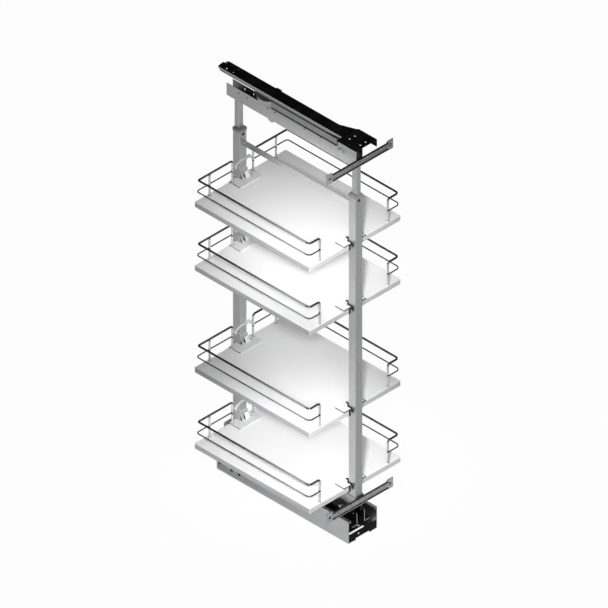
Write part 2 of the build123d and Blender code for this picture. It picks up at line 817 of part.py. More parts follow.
def tray_clamp(tray_top):
    """Clamp plate with a bracket behind it that carries the lever beside the back post."""
    half = clamp_plate_width / 2
    back = tray_half_depth
    front = back - clamp_plate_depth
    plate_top = tray_top + clamp_plate_sheet
    plate = block((-half, half), (front, back), (tray_top, plate_top))
    plate = fillet(plate.edges().filter_by(Axis.Z).group_by(Axis.Y)[0], clamp_plate_corner)
    pocket_y = (notch_bottom, back + cut_past)
    plate = plate - block((-cheek_inner, cheek_inner), pocket_y, past((tray_top, plate_top)))
    for x in (-rail_back_end_x, rail_back_end_x):
        relief = rail_ferrule_radius + slide_gap
        plate = plate - bore((x, rail_back_y, tray_top), (0, 0, 1), relief, clamp_plate_sheet)
    slot_x = around(clamp_slot_x, clamp_slot_width)
    slot_y = (notch_bottom - clamp_slot_depth, notch_bottom)
    plate = plate - block(slot_x, slot_y, (plate_top - clamp_slot_sink, plate_top + cut_past))
    bridge_y = (notch_bottom - clamp_cheek_sheet, notch_bottom)
    bridge = block((-cheek_outer, cheek_outer), bridge_y, (tray_top, tray_top + clamp_bridge_height))
    cheek_y = (bridge_y[0], notch_bottom + clamp_cheek_width)
    cheek = block((-cheek_outer, -cheek_inner), cheek_y, (tray_top, tray_top + clamp_cheek_height))
    cheek = fillet(cheek.edges().filter_by(Axis.X).group_by(Axis.Z)[-1], clamp_cheek_corner)
    ear_outline = [
        (bridge_y[0], plate_top),
        (bridge_y[0], plate_top + clamp_ear_height),
        (bridge_y[0] - clamp_ear_top, plate_top + clamp_ear_height),
        (bridge_y[0] - clamp_ear_foot, plate_top),
    ]
    ear = plate_x(ear_outline, -clamp_ear_x, clamp_cheek_sheet)
    strut = plate_x(ear_outline, clamp_strut_x, clamp_strut_width)
    pin_start = (-cheek_outer, notch_bottom + clamp_pivot_from_face, tray_top + clamp_pivot_height)
    pin_length = lever_sheet + 2 * slide_gap
    pin = rod(pin_start, (-1, 0, 0), clamp_pin_radius, pin_length)
    head_start = (-cheek_outer - pin_length, pin_start[1], pin_start[2])
    head = rod(head_start, (-1, 0, 0), clamp_pin_head_radius, clamp_pin_head_height)
    return plate + bridge + cheek + ear + strut + pin + head


def tray_lever(tray_top):
    """Curved blade that swings beside the back post, with a bent tongue at its tip."""
    pivot_y = notch_bottom + clamp_pivot_from_face
    pivot_z = tray_top + clamp_pivot_height
    tip_y = pivot_y - lever_reach
    tip_z = pivot_z + lever_rise
    x_low = -cheek_outer - slide_gap - lever_sheet
    length = (lever_reach**2 + lever_rise**2) ** 0.5
    across_y = lever_rise / length
    across_z = lever_reach / length

    def beside(share, offset):
        """Point beside the straight line from the pivot (0) to the tip (1)."""
        y = pivot_y - lever_reach * share + across_y * offset
        z = pivot_z + lever_rise * share + across_z * offset
        return (x_low, y, z)

    half_blade = lever_width / 2
    root = lever_root_radius
    upper_middle = beside(0.5, lever_bulge + half_blade)
    lower_middle_point = beside(0.5, lever_bulge - half_blade)
    upper_edge = ThreePointArc(beside(0, root), upper_middle, beside(1, half_blade))
    lower_edge = ThreePointArc(beside(1, -half_blade), lower_middle_point, beside(0, -root))
    tip_edge = Line(upper_edge @ 1, lower_edge @ 0)
    root_edge = Line(lower_edge @ 1, upper_edge @ 0)
    outline = Wire([upper_edge, tip_edge, lower_edge, root_edge])
    blade = extrude(make_face(outline.edges()), amount=lever_sheet, dir=(1, 0, 0))
    blade = blade + rod(beside(0, 0), (1, 0, 0), root, lever_sheet)
    blade = blade - bore(beside(0, 0), (1, 0, 0), clamp_pin_radius + pin_gap, lever_sheet)
    tongue_y = around(tip_y, lever_tongue_length)
    tongue_x = (x_low, x_low + lever_tongue_width)
    tongue = block(tongue_x, tongue_y, (tip_z, tip_z + lever_sheet))
    lip_x = (tongue_x[1] - lever_sheet, tongue_x[1])
    lip = block(lip_x, tongue_y, (tip_z - lever_lip_drop, tip_z + lever_sheet))
    return blade + tongue + lip


def top_rail():
    """C-shaped ceiling rail, open below between two lips, with a grooved rear and a slanted nose."""
    y = (ceiling_plate_back, rail_back)
    outer = block((-rail_half, rail_half), y, (rail_bottom, rail_top))
    inner_half = rail_half - rail_sheet
    hollow = block((-inner_half, inner_half), past(y), (rail_bottom + rail_sheet, rail_top - rail_sheet))
    slot_half = rail_half - rail_lip
    slot = block((-slot_half, slot_half), past(y), past((rail_bottom, rail_bottom + rail_sheet)))
    groove_x = (-rail_half - cut_past, -rail_half + rail_groove_depth)
    groove_y = (rail_back - rail_groove_length, rail_back + cut_past)
    groove_z = (rail_bottom - cut_past, rail_bottom + rail_groove_height)
    groove = block(groove_x, groove_y, groove_z)
    end_y = (rail_back - rail_end_inset, rail_back + cut_past)
    end_step = block(past((-rail_half, rail_half)), end_y, groove_z)
    nose_outline = [
        (y[0] - cut_past, rail_bottom - cut_past),
        (y[0] + rail_nose_length, rail_bottom - cut_past),
        (y[0] + rail_nose_length, rail_bottom),
        (y[0], rail_bottom + rail_nose_rise),
        (y[0] - cut_past, rail_bottom + rail_nose_rise),
    ]
    nose = plate_x(nose_outline, -rail_half - cut_past, rail_width + 2 * cut_past)
    rail = outer - hollow - slot - groove - mirrored(groove) - end_step - nose
    for y_place, relief in zip(ceiling_back_hole_y, (0, ceiling_hole_relief)):
        for x in (-ceiling_hole_x, ceiling_hole_x):
            start = (x, y_place, rail_top - rail_sheet)
            rail = rail - bore(start, (0, 0, 1), ceiling_hole_radius + relief, rail_sheet)
    return rail


def top_plate():
    """Long strip on the rail with a wide front plate and a flange on its right side."""
    plate_half = ceiling_plate_width / 2
    taper_end = ceiling_plate_back + ceiling_taper_length
    outline = [
        (-plate_half, ceiling_plate_front),
        (plate_half, ceiling_plate_front),
        (plate_half, ceiling_plate_back - ceiling_step),
        (plate_half - ceiling_step, ceiling_plate_back),
        (rail_half, taper_end),
        (rail_half, rail_back - strip_notch_depth),
        (strip_notch_x + strip_notch_width, rail_back - strip_notch_depth / 2),
        (strip_notch_x + strip_notch_width, rail_back - strip_notch_depth),
        (strip_notch_x, rail_back - strip_notch_depth),
        (strip_notch_x, rail_back + strip_nose),
        (-strip_notch_x, rail_back + strip_nose),
        (-rail_half, rail_back),
        (-rail_half, ceiling_plate_back),
        (-plate_half, ceiling_plate_back),
    ]
    body = plate_z(outline, rail_top, ceiling_plate_sheet)
    flange_x = (plate_half - ceiling_flange_sheet, plate_half)
    flange_z = (installed_height - ceiling_flange_depth, rail_top)
    flange = block(flange_x, (ceiling_plate_front, ceiling_plate_back - ceiling_step), flange_z)
    tab_y = around(strip_tab_y, strip_tab_length)
    tab = block((rail_half, rail_half + strip_tab_depth), tab_y, (rail_top, installed_height))
    tab = chamfer(tab.edges().filter_by(Axis.Z).group_by(Axis.X)[-1], strip_tab_bevel)
    body = body + flange + tab
    holes = [(x, y, strip_hole_radius) for x, y in strip_hole_places]
    pair_places = [(ceiling_hole_x, y) for y in ceiling_front_hole_y + ceiling_back_hole_y]
    pair_places.append((ceiling_wide_hole_x, ceiling_wide_hole_y))
    for x, y in pair_places:
        holes += [(-x, y, ceiling_hole_radius), (x, y, ceiling_hole_radius)]
    for x, y, radius in holes:
        body = body - bore((x, y, rail_top), (0, 0, 1), radius, ceiling_plate_sheet)
    return body


def top_middle():
    """I-shaped middle member, held in the rail above and holding the carriage below."""
    y = (ceiling_plate_back + top_middle_front_inset, rail_back - top_middle_back_inset)
    upper_bottom = rail_bottom + rail_sheet + slide_gap
    upper = block((-top_middle_flange, top_middle_flange), y, (upper_bottom, upper_bottom + top_middle_sheet))
    lower_top = top_middle_lower_top
    lower_half = top_carriage_width / 2 - top_carriage_sheet - slide_gap
    lower = block((-lower_half, lower_half), y, (lower_top - top_middle_sheet, lower_top))
    web = block((-top_middle_web, top_middle_web), y, (lower_top, upper_bottom))
    return upper + lower + web


def top_carriage():
    """C-shaped carriage that hangs on the middle member's lower flange."""
    half = top_carriage_width / 2
    y = (top_carriage_front, top_carriage_back)
    outer = block((-half, half), y, (top_carriage_bottom, top_carriage_top))
    inner = half - top_carriage_sheet
    inner_z = (top_carriage_bottom + top_carriage_sheet, top_carriage_top - top_carriage_sheet)
    hollow = block((-inner, inner), past(y), inner_z)
    slot_half = top_carriage_slot / 2
    slot = block((-slot_half, slot_half), past(y), past((inner_z[1], top_carriage_top)))
    pin_hole = bore((0, 0, top_carriage_bottom), (0, 0, 1), pivot_radius, top_carriage_sheet)
    return outer - hollow - slot - pin_hole


def top_pivot_pin():
    """Headed pin that hangs from the carriage into the frame's pivot block."""
    floor_top = top_carriage_bottom + top_carriage_sheet
    head = rod((0, 0, floor_top), (0, 0, 1), top_pivot_head_radius, top_pivot_head_height)
    pin_bottom = top_carriage_bottom - top_pivot_drop
    return head + rod((0, 0, pin_bottom), (0, 0, 1), pivot_radius, floor_top - pin_bottom)


def top_damper():
    """Flat-topped oval housing on the outside of the clip, deepest near its rear."""
    x = (-top_carriage_width / 2 - clip_sheet - damper_width, -top_carriage_width / 2 - clip_sheet)
    z = (rail_bottom - damper_rail_gap - damper_height, rail_bottom - damper_rail_gap)
    side = Plane(origin=(x[0], damper_middle, z[1]), x_dir=(0, 1, 0), z_dir=(1, 0, 0))
    quarters = []
    for end in (damper_front, damper_back):
        oval = extrude(side * Ellipse(abs(end - damper_middle), damper_height), amount=damper_width)
        quarters.append(oval & block(x, sorted((damper_middle, end)), z))
    return quarters[0] + quarters[1]


def top_clip():
    """Plate on the left side of the carriage, which ends in a slanted strip at its rear."""
    x_low = -top_carriage_width / 2 - clip_sheet
    low_z = channel_top + clip_channel_gap
    high_y = clip_back - clip_strip_low_width + clip_strip_lean
    outline = [
        (clip_front, low_z),
        (clip_back, low_z),
        (high_y, low_z + clip_strip_rise),
        (high_y - clip_strip_high_width, low_z + clip_strip_rise),
        (clip_back - clip_strip_low_width, low_z + clip_height),
        (clip_front, low_z + clip_height),
    ]
    return plate_x(outline, x_low, clip_sheet)


def upper_channel():
    """Open channel on the inner tubes, taller at its front, with slots, a lug and a hook."""
    y = (-bar_back, channel_back)
    body = channel_y(channel_half, y, (channel_bottom, channel_top), channel_sheet)
    step_y = (y[0], channel_step_back)
    left_step = block((-channel_half, -channel_inner), step_y, (channel_top, channel_step_top))
    body = body + left_step + mirrored(left_step)
    through_x = past((-channel_half, channel_half))
    slot_z = around(channel_top - channel_slot_drop, channel_slot_height)
    for place in channel_slot_places:
        body = body - block(through_x, around(place, channel_slot_width), slot_z)
    dash_z = around(channel_top - channel_dash_drop, channel_dash_height)
    for place, length in channel_dashes:
        body = body - block(through_x, around(place, length), dash_z)
    notch_z = (channel_top - channel_notch_depth, channel_top + cut_past)
    for place in channel_notch_places:
        body = body - block((-channel_half - cut_past, 0), around(place, channel_slot_width), notch_z)
    lug_center = channel_bottom + channel_lug_radius - channel_lug_drop
    lug_start = (-channel_half, channel_lug_y, lug_center)
    body = body + rod(lug_start, (1, 0, 0), channel_lug_radius, channel_sheet)
    return body - hook_cut()


def hook_cut():
    """Half ring that is cut through the left wall and leaves a hook."""
    center = (-channel_half, channel_hook_y, channel_top - channel_hook_drop)
    ring = bore(center, (1, 0, 0), channel_hook_radius, channel_sheet)
    core = bore(center, (1, 0, 0), channel_hook_radius - channel_hook_width, channel_sheet)
    y = (channel_hook_y - channel_hook_radius, channel_hook_y + channel_hook_radius)
    z = (center[2], center[2] + channel_hook_radius)
    return (ring - core) & block(past((-channel_half, -channel_inner)), y, z)


def pivot_block():
    """Plastic block between the channel's walls, with the bore for the top pin."""
    half = block_length / 2
    body = block((-channel_inner, channel_inner), (-half, half), (channel_top - block_height, channel_top))
    return body - bore((0, 0, channel_top - block_height), (0, 0, 1), pivot_radius + pin_gap, block_height)


def inner_tube(side):
    """Square tube under the upper channel, sliding in a post."""
    return square_tube(side * tube_middle, tube_side, tube_wall, (tube_bottom, channel_bottom))


def front_buffer():
    """Black wedge in the front end of the upper channel, behind the door bar."""
    low = channel_bottom + channel_sheet
    high = channel_top + wedge_rise
    shoulder = channel_top - wedge_shoulder_drop
    outline = Polyline(
        (-channel_inner, -bar_back, low),
        (channel_inner, -bar_back, low),
        (channel_inner, -bar_back, shoulder),
        (wedge_tip_x, -bar_back, high),
        (-channel_inner, -bar_back, high),
        close=True,
    )
    return extrude(make_face(outline.edges()), amount=wedge_length, dir=(0, 1, 0))


def save(name, shape):
    """Write one sub-part to its own file."""
    export_step(shape, f"parts/{name}.step")


def save_tray(number, underside):
    """Write the six sub-parts of one tray."""
    tray_top = underside + tray_board
    left_rail = tray_left_rail(tray_top)
    save(f"tray_{number}_board", tray_board_part(underside))
    save(f"tray_{number}_left_rail", left_rail)
    save(f"tray_{number}_right_rail", mirrored(left_rail))
    save(f"tray_{number}_front_clip", tray_front_clip(tray_top))
    save(f"tray_{number}_clamp", tray_clamp(tray_top))
    save(f"tray_{number}_lever", tray_lever(tray_top))


def main():
    """Build every sub-part and write each to its own file."""
    os.makedirs("parts", exist_ok=True)
    left_runner = fixed_runner()
    save("base_channel", base_channel())
    save("base_front_plate", base_front_plate())
    save("left_runner", left_runner)
    save("right_runner", mirrored(left_runner))
    save("rear_buffers", rear_buffers())
    save("lower_middle", lower_middle())
    save("lower_carriage", lower_carriage())
    save("carriage_shoes", carriage_shoes())
    save("lower_bearing_race", lower_bearing_race())
    save("lower_pivot_pin", lower_pivot_pin())
    save("swivel_catch", swivel_catch())
    save("catch_striker", catch_striker())
    save("upper_bearing_race", upper_bearing_race())
    save("lower_beam", lower_beam())
    save("beam_end_cap", beam_end_cap())
    save("front_post", post(-1))
    save("back_post", post(1))
    save("front_collar", collar(-1))
    save("back_collar", collar(1))
    save("cross_brace", cross_brace())
    save("front_foot", front_foot())
    save("lower_door_bar", door_bar(lower_bar_center))
    save("clamp_screws", clamp_screws())
    for number, underside in enumerate(tray_undersides, start=1):
        save_tray(number, underside)
    save("top_rail", top_rail())
    save("top_plate", top_plate())
    save("top_middle", top_middle())
    save("top_carriage", top_carriage())
    save("top_pivot_pin", top_pivot_pin())
    save("top_damper", top_damper())
    save("top_clip", top_clip())
    save("upper_channel", upper_channel())
    save("pivot_block", pivot_block())
    save("front_inner_tube", inner_tube(-1))
    save("back_inner_tube", inner_tube(1))
    save("upper_door_bar", door_bar(upper_bar_center))
    save("front_buffer", front_buffer())


main()
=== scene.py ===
import bmesh
import bpy
import json
import math
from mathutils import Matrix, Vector

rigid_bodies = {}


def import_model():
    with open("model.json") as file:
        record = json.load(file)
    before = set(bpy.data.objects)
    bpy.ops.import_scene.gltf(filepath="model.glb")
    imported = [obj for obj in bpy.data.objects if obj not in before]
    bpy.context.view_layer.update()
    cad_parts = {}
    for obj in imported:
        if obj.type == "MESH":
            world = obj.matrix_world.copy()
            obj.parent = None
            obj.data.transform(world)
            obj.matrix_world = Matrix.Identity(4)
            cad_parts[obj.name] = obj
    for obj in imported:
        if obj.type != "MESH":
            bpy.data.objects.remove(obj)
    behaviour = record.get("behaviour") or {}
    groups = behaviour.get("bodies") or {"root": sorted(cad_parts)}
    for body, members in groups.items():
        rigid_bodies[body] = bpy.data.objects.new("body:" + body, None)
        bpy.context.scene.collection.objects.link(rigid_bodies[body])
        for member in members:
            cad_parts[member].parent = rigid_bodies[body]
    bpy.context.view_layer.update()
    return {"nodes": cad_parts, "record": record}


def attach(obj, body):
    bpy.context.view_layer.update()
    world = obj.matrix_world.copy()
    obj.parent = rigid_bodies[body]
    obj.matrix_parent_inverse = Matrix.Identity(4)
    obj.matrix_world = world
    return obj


# Rotating pantry frame, metres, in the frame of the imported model.

# Camera: an upright picture of 608 by 608 pixels without perspective
picture_width = 1.7431
camera_target = Vector((0.0446, 0.0187, 0.650))
camera_distance = 6.0
camera_turn = math.radians(45)
camera_drop = math.radians(35.04)

# Studio
floor_side = 60.0
floor_colour = (0.9, 0.9, 0.9, 1.0)
floor_rough = 0.9
floor_glow = 0.97
room_light = 0.16
background_level = 1.0
ceiling_card_height = 3.0
ceiling_card_half = 20.0
ceiling_card_level = 0.015
floor_card_near = Vector((-0.6, -0.27))
floor_card_far = Vector((4.0, -4.0))
floor_card_height = 0.001
floor_card_level = 0.5
side_card_near = Vector((-4.0, -1.0))
side_card_far = Vector((-0.06, 4.0))
side_card_terms = (
    ((1.0, 1.0, 0.0), -0.25, 0.25, 1.0, 0.45),
    ((1.0, 0.0, 0.0), -1.20, -0.30, 0.65, 1.0),
)
key_direction = Vector((-0.25, 0.45, -1.0))
key_strength = 0.5
key_softness = math.radians(50)
box_place = Vector((-1.2, -1.2, 1.85))
box_aim = Vector((0.0, 0.0, 0.6))
box_side = 1.2
box_power = 12.0
spot_shift = Vector((-0.04, -0.08, 0.0))
spot_distance = 2.4
spot_width_share = 2.15
spot_softness = 0.12
# Each spot from the lowest tray up: the height it aims at, its radius there and its power
tray_spots = ((0.17, 0.27, 260.0), (0.436, 0.155, 200.0), (0.792, 0.195, 225.0), (1.015, 0.195, 240.0))

# Bare metal, paint and board colours
zinc_dark = (0.36, 0.365, 0.37, 1.0)
zinc_light = (0.44, 0.445, 0.45, 1.0)
grey_dark = (0.52, 0.525, 0.53, 1.0)
grey_light = (0.58, 0.585, 0.59, 1.0)
bright_edge = (0.66, 0.66, 0.67, 1.0)
chrome_dark = (0.66, 0.66, 0.68, 1.0)
chrome_light = (0.80, 0.80, 0.81, 1.0)
# Painted dark reflection of the level wires, and painted light (a lit matte grey) on a stretch of the left
# wires
chrome_painted_dark_reflection = (0.16, 0.16, 0.165, 1.0)
chrome_painted_light = (0.26, 0.26, 0.265, 1.0)
black_paint = (0.006, 0.006, 0.006, 1.0)
black_dust = (0.014, 0.014, 0.014, 1.0)
black_worn = (0.12, 0.12, 0.12, 1.0)
plastic_dark = (0.012, 0.012, 0.012, 1.0)
plastic_light = (0.028, 0.028, 0.028, 1.0)
board_white = (0.95, 0.95, 0.95, 1.0)
board_cool = (0.92, 0.92, 0.925, 1.0)
# Painted shade on the board's sides and ends
board_side_painted_shade = (0.40, 0.40, 0.41, 1.0)
board_end_painted_shade = (0.58, 0.58, 0.59, 1.0)
cap_grey_dark = (0.26, 0.26, 0.265, 1.0)
cap_grey_light = (0.34, 0.34, 0.345, 1.0)
clip_white = (0.93, 0.93, 0.93, 1.0)
clip_rim = (0.04, 0.04, 0.04, 1.0)
clamp_pale = (0.80, 0.80, 0.805, 1.0)
# Painted shade, near black: on the sides of the clip and clamp plates, between the clamp's cheeks and round
# the levers
painted_shade_black = (0.03, 0.03, 0.03, 1.0)
bar_grey = (0.30, 0.30, 0.305, 1.0)
bar_end_painted_light = (0.36, 0.36, 0.365, 1.0)
bar_painted_shade = (0.02, 0.02, 0.02, 1.0)
rail_pale = (0.52, 0.52, 0.525, 1.0)
bright_dark = (0.82, 0.82, 0.825, 1.0)
bright_light = (0.94, 0.94, 0.945, 1.0)
rail_painted_shade = (0.30, 0.30, 0.305, 1.0)
channel_painted_light = (0.88, 0.88, 0.885, 1.0)
channel_painted_shade = (0.26, 0.26, 0.265, 1.0)
# Near-black painted shade for the inside of the floor runner
carriage_painted_shade = (0.06, 0.06, 0.062, 1.0)
beam_painted_light = (0.45, 0.45, 0.455, 1.0)
# On the brace: painted light where it looks up, and painted shade toward the back; the first is also the top
# clip's real pale paint
brace_painted_light_and_clip_paint = (0.62, 0.62, 0.625, 1.0)
brace_shade = (0.40, 0.40, 0.405, 1.0)
cheek_grey = (0.40, 0.40, 0.41, 1.0)
lever_pale = (0.84, 0.84, 0.845, 1.0)

# Masks: how far a face leans to count as facing an axis, and how an edge differs from a flat face
face_lean = (0.4, 0.7)
edge_match = (0.99, 0.85)
edge_samples = 4

# Sheet steel: texture scales per metre, worn edge and streak depth, and (light, dark) roughness
steel_cloud_scale = 14.0
steel_crystal_scale = 260.0
steel_tone = (0.75, 1.6)
steel_worn_radius = 0.0005
steel_streak_depth = 0.00004
zinc_rough = (0.26, 0.40)
satin_rough = (0.34, 0.46)
carriage_rough = (0.30, 0.45)

# Rolling streaks of sheet steel, per metre on each axis: along the frame and up its posts
streaks_along = (700.0, 9.0, 500.0)
streaks_up = (800.0, 800.0, 12.0)

# Level wires of a rail, as shares of its height, where their painted dark reflection starts and is full
upper_wire_share = (0.89, 0.92)
lower_wire_share = 0.535
lower_wire_reach = (0.035, 0.025)

# Stretch of a rail's left wires with painted light (a lit matte grey), as shares of its width and depth
painted_light_side = (0.08, 0.05)
painted_light_fade = (0.7, 0.2)
painted_light_start = (0.02, 0.05)

# Clip and clamp plates on the trays, with painted shade on their sides, between the clamp's cheeks and round
# the levers, and painted light on the clamp's faces that look up
clip_plate_sheet = 0.0022
clip_arm_sheet = 0.0022
clip_rim_start = 0.0430
clamp_plate_sheet = 0.0032
tone_step = 0.0001
cheek_inside = 0.0139
lever_outline = 0.0014
strut_lean = (0.15, 0.3)
board_front = -0.2335
tray_count = 4

# Bars, ceiling rail, channel and brace: where their painted light and shade change
bar_end_start = 0.112
rail_middle = 1.3670
channel_front_run = (0.2, -0.1)
channel_foot = (1.327, 1.290)
brace_back_run = (0.04, 0.16)

# Small fittings: where they sit, and the (radius, height) profiles of the turned ones
turn_steps = 24
bar_hole_x = 0.122
bar_front = -0.2525
lower_bar_height = 0.118
upper_bar_height = 1.304
bushing_profile = (
    (0.0022, -0.0015),
    (0.0022, 0.0006),
    (0.0026, 0.0009),
    (0.0040, 0.0007),
    (0.0044, 0.0),
    (0.0029, 0.0),
    (0.0029, -0.0015),
)
front_post_face = -0.2487
back_post_face = 0.2207
clamp_screw_height = 1.167
surround_profile = ((0.0033, 0.0), (0.0033, 0.0006), (0.0048, 0.0006), (0.0052, 0.0))
plate_top = 1.375
rivet_sink = 0.0012
rivet_profile = ((0.0016, -0.0008), (0.0016, 0.0), (0.0013, 0.0006), (0.0006, 0.0008))
rivet_places = ((-0.007, -0.178), (0.005, -0.168), (0.008, -0.190), (-0.004, -0.188), (0.009, 0.233))
base_half = 0.0576
base_plug_height = 0.024
base_plug_places = (0.179, 0.210)
plug_profile = (
    (0.0034, -0.0010),
    (0.0034, 0.0),
    (0.0055, 0.0),
    (0.0052, 0.0008),
    (0.0030, 0.0012),
    (0.0008, 0.0012),
)
# Black strip of painted shade on the channel's left wall
shadow_strip_low = Vector((-0.0138, -0.170, 1.3258))
shadow_strip_high = Vector((-0.0120, 0.110, 1.3292))
shadow_strip_edge = 0.0003


def clear_scene():
    """Removes the objects of the start-up file, so that only the part is measured."""
    for leftover in list(bpy.data.objects):
        bpy.data.objects.remove(leftover)


class Recipe:
    """A procedural material while its nodes are being wired."""

    def __init__(self, name, metallic, coordinates="Object"):
        self.material = bpy.data.materials.new(name)
        self.material.use_nodes = True
        self.nodes = self.material.node_tree.nodes
        self.links = self.material.node_tree.links
        self.shader = self.nodes["Principled BSDF"]
        self.shader.inputs["Metallic"].default_value = metallic
        self.place = self.nodes.new("ShaderNodeTexCoord").outputs[coordinates]

    def axis(self, name, coordinates="Object"):
        """One coordinate of the point, or of the direction that its face looks in."""
        parts = self.nodes.new("ShaderNodeSeparateXYZ")
        place = self.nodes.new("ShaderNodeTexCoord").outputs[coordinates]
        self.links.new(place, parts.inputs["Vector"])
        return parts.outputs[name]

    def faces_along(self, name):
        """1 on faces that look along an axis, either way, and 0 on those beside it."""
        lean = self.sum(self.axis(name, "Normal"), 0.0, "ABSOLUTE")
        return self.spread(lean, *face_lean)

    def faces_up(self):
        """1 on faces that look up, and 0 on upright and lower ones."""
        return self.step("Z", *face_lean, "Normal")

    def step(self, name, start, end, coordinates="Object"):
        """0 before the start on an axis, rising to 1 at its end."""
        return self.spread(self.axis(name, coordinates), start, end)

    def stretched(self, scale):
        """Coordinates scaled by a different amount along each axis."""
        node = self.nodes.new("ShaderNodeMapping")
        node.inputs["Scale"].default_value = scale
        self.links.new(self.place, node.inputs["Vector"])
        return node.outputs["Vector"]

    def noise(self, scale, detail=3.0, place=None):
        node = self.nodes.new("ShaderNodeTexNoise")
        node.inputs["Scale"].default_value = scale
        node.inputs["Detail"].default_value = detail
        self.links.new(place or self.place, node.inputs["Vector"])
        return node.outputs["Fac"]

    def cells(self, scale):
        """Random grey per cell, such as the crystals of a zinc coat."""
        node = self.nodes.new("ShaderNodeTexVoronoi")
        node.inputs["Scale"].default_value = scale
        self.links.new(self.place, node.inputs["Vector"])
        grey = self.nodes.new("ShaderNodeRGBToBW")
        self.links.new(node.outputs["Color"], grey.inputs["Color"])
        return grey.outputs["Val"]

    def spread(self, value, low, high, to_low=0.0, to_high=1.0):
        """Maps low..high of a value to another range, and clamps it there."""
        node = self.nodes.new("ShaderNodeMapRange")
        node.inputs["From Min"].default_value = low
        node.inputs["From Max"].default_value = high
        node.inputs["To Min"].default_value = to_low
        node.inputs["To Max"].default_value = to_high
        self.links.new(value, node.inputs["Value"])
        return node.outputs["Result"]

    def sum(self, first, second, operation="ADD"):
        node = self.nodes.new("ShaderNodeMath")
        node.operation = operation
        for socket, value in zip(node.inputs, (first, second)):
            if isinstance(value, float):
                socket.default_value = value
            else:
                self.links.new(value, socket)
        return node.outputs["Value"]

    def blend(self, factor, first, second):
        """Colour between two colours, each a constant or a socket."""
        node = self.nodes.new("ShaderNodeMix")
        node.data_type = "RGBA"
        self.links.new(factor, node.inputs["Factor"])
        sockets = [s for s in node.inputs if s.type == "RGBA"]
        for socket, colour in zip(sockets, (first, second)):
            if isinstance(colour, tuple):
                socket.default_value = colour
            else:
                self.links.new(colour, socket)
        return next(s for s in node.outputs if s.type == "RGBA")

    def edges(self, radius):
        """1 on edges of about that radius and 0 on flat faces."""
        soft = self.nodes.new("ShaderNodeBevel")
        soft.samples = edge_samples
        soft.inputs["Radius"].default_value = radius
        flat = self.nodes.new("ShaderNodeNewGeometry")
        match = self.nodes.new("ShaderNodeVectorMath")
        match.operation = "DOT_PRODUCT"
        self.links.new(soft.outputs["Normal"], match.inputs[0])
        self.links.new(flat.outputs["Normal"], match.inputs[1])
        return self.spread(match.outputs["Value"], *edge_match)

    def colour(self, source):
        self.shade = source
        self.links.new(source, self.shader.inputs["Base Color"])

    def over(self, mask, colour):
        """Lays another colour where the mask is 1."""
        self.colour(self.blend(mask, self.shade, colour))

    def coat(self, mask, colour):
        """Lays a matte, non-metal colour on bare metal where the mask is 1; every use of it here lays
        painted light.
        """
        self.over(mask, colour)
        self.links.new(self.spread(mask, 0.0, 1.0, 1.0, 0.0), self.shader.inputs["Metallic"])

    def both(self, first, second):
        """1 where both masks are 1."""
        return self.sum(first, second, "MULTIPLY")

    def roughness(self, source):
        self.links.new(source, self.shader.inputs["Roughness"])

    def bump(self, height, depth):
        """Relief of the given depth in metres."""
        node = self.nodes.new("ShaderNodeBump")
        node.inputs["Distance"].default_value = depth
        self.links.new(height, node.inputs["Height"])
        self.links.new(node.outputs["Normal"], self.shader.inputs["Normal"])


def rolled_steel(name, dark, light, streak_scale, rough):
    """Plated or coated sheet steel: clouds, rolling streaks, small crystals and bright worn edges."""
    recipe = Recipe(name, metallic=1.0)
    clouds = recipe.noise(steel_cloud_scale)
    streaks = recipe.noise(1.0, 4.0, recipe.stretched(streak_scale))
    crystals = recipe.cells(steel_crystal_scale)
    tone = recipe.sum(recipe.sum(clouds, streaks), recipe.sum(crystals, 0.35, "MULTIPLY"))
    shade = recipe.blend(recipe.spread(tone, *steel_tone), dark, light)
    patchy = recipe.spread(recipe.noise(90.0), 0.35, 0.6, 0.0, 0.6)
    scuffs = recipe.both(recipe.edges(steel_worn_radius), patchy)
    recipe.colour(recipe.blend(scuffs, shade, bright_edge))
    rough_light, rough_dark = rough
    recipe.roughness(recipe.spread(tone, *steel_tone, rough_dark, rough_light))
    recipe.bump(streaks, steel_streak_depth)
    return recipe


def chrome():
    """Polished chrome wire with drawing marks, a painted dark reflection on the level wires, painted light
    on a stretch of the left wires, and bright on the uprights.
    """
    recipe = Recipe("chrome_wire_finish", metallic=1.0)
    haze = recipe.noise(40.0)
    marks = recipe.noise(900.0, 2.0)
    height = recipe.axis("Z", "Generated")
    from_lower = recipe.sum(recipe.sum(height, -lower_wire_share), 0.0, "ABSOLUTE")
    recipe.colour(recipe.blend(recipe.spread(haze, 0.35, 0.65), chrome_dark, chrome_light))
    # Painted dark reflection on the upper and lower level wires
    recipe.over(recipe.spread(height, *upper_wire_share), chrome_painted_dark_reflection)
    recipe.over(recipe.spread(from_lower, *lower_wire_reach), chrome_painted_dark_reflection)
    # Painted light: a lit matte grey over a stretch of the left wires
    side_run = recipe.step("X", *painted_light_side, "Generated")
    before_middle = recipe.step("Y", *painted_light_fade, "Generated")
    behind_corner = recipe.step("Y", *painted_light_start, "Generated")
    recipe.coat(recipe.both(side_run, recipe.both(before_middle, behind_corner)), chrome_painted_light)
    recipe.roughness(recipe.spread(recipe.sum(haze, marks), 0.7, 1.3, 0.06, 0.2))
    recipe.bump(marks, 0.000008)
    return recipe


